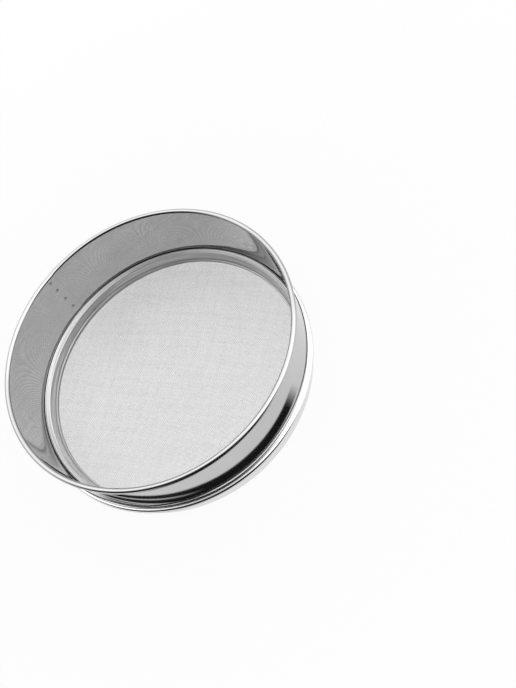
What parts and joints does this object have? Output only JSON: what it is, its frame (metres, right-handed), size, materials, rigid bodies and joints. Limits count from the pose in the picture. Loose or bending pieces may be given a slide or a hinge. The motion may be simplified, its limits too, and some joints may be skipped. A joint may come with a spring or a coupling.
{
  "type": "test sieve",
  "caption": "Round laboratory test sieve: rolled-rim steel frame, clamped woven wire cloth and a nesting skirt.",
  "frame": {"origin": "centre of the base plane, on the sieve's axis", "axes": "+Z along the sieve's axis, out of its open top; the cloth's warp runs along Y and its weft along X"},
  "size_m": [0.2076, 0.2076, 0.06],
  "materials": {
    "polished_frame": "polished stainless sheet",
    "polished_skirt": "polished stainless sheet",
    "polished_ring": "polished stainless sheet",
    "satin_ring": "satin stainless sheet",
    "wire_cloth": "bright woven stainless wire"
  },
  "bodies": {
    "root": {"upper_frame": "polished_frame", "lower_frame": "polished_skirt", "clamp_ring": "polished_ring", "support_ring": "satin_ring", "sieve_cloth": "wire_cloth"}
  },
  "joints": []
}
